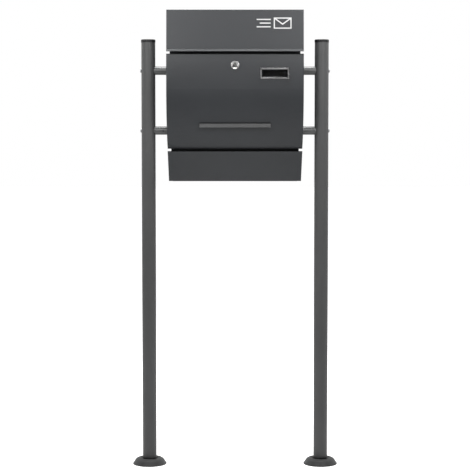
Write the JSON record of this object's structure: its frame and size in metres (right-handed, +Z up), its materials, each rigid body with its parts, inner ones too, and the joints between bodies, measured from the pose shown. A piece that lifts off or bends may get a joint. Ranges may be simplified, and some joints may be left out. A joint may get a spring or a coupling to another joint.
{
  "type": "standing letterbox",
  "caption": "Free-standing steel letterbox between round posts on domed feet, with a hinged lid, a curved drop-down door with cam lock, and an open newspaper tray below.",
  "frame": {"origin": "on the ground, midway between the posts, in the middle of the overall depth", "axes": "+Z up, the front with the door faces -Y, +X is the viewer's right"},
  "size_m": [0.546, 0.1565, 1.2],
  "materials": {
    "box_paint": "satin anthracite powder coat",
    "post_paint": "satin anthracite powder coat",
    "cover_paint": "satin anthracite powder coat",
    "strip_paint": "satin grey powder coat",
    "black_plastic": "fine matt black",
    "rubber": "matt",
    "chrome": "polished",
    "name_frame": "satin silver",
    "card": "plain dark insert card",
    "window": "clear",
    "print": "white screen print",
    "zinc": "bright zinc plated"
  },
  "bodies": {
    "housing": {"post_left": "post_paint", "post_right": "post_paint", "post_cap_left": "black_plastic", "post_cap_right": "black_plastic", "base_plate_left": "post_paint", "base_plate_right": "post_paint", "spacer_lower_left": "post_paint", "spacer_lower_right": "post_paint", "spacer_upper_left": "post_paint", "spacer_upper_right": "post_paint", "spacer_bolts": "zinc", "bolt_washers": "zinc", "bolt_nuts": "zinc", "rear_wall": "box_paint", "side_wall_left": "box_paint", "side_wall_right": "box_paint", "floor_panel": "box_paint", "lock_rail": "box_paint", "door_bumpers": "rubber", "lid_bumpers": "rubber", "lid_hinge_rod": "zinc", "lid_hinge_sleeves": "black_plastic", "lid_hinge_caps": "black_plastic", "newspaper_tray": "box_paint", "tray_rivets": "zinc", "hinge_bracket_left": "zinc", "hinge_bracket_right": "zinc"},
    "lid": {"lid": "box_paint", "envelope_mark": "print"},
    "door": {"door": "box_paint", "grip_strip": "strip_paint", "strip_rivets": "zinc", "name_plate_frame": "name_frame", "name_card": "card", "name_window": "window", "name_plate_clips": "zinc", "lock_housing": "chrome", "lock_nut": "zinc", "door_hinge_leaf_left": "zinc", "door_hinge_leaf_right": "zinc", "hinge_pins": "zinc"},
    "lock": {"lock_plug": "chrome", "lock_cam": "zinc", "cam_screw": "zinc"},
    "cover_left": {"base_cover_left": "cover_paint"},
    "cover_right": {"base_cover_right": "cover_paint"}
  },
  "joints": [
    {"name": "lid_hinge", "type": "hinge", "parent": "housing", "child": "lid", "pos_m": [0, 0.07, 1.186], "axis": [-1, 0, 0], "range_deg": [0, 85]},
    {"name": "door_hinge", "type": "hinge", "parent": "housing", "child": "door", "pos_m": [0, 0.00252, 0.84739], "axis": [1, 0, 0], "range_deg": [0, 85]},
    {"name": "lock_turn", "type": "hinge", "parent": "door", "child": "lock", "pos_m": [0, -0.06928, 1.057], "axis": [0, -0.9972, 0.0747], "range_deg": [0, 90]},
    {"name": "cover_left_slide", "type": "slide", "parent": "housing", "child": "cover_left", "axis": [0, 0, 1], "range_m": [0, 0.15]},
    {"name": "cover_right_slide", "type": "slide", "parent": "housing", "child": "cover_right", "axis": [0, 0, 1], "range_m": [0, 0.15]}
  ]
}
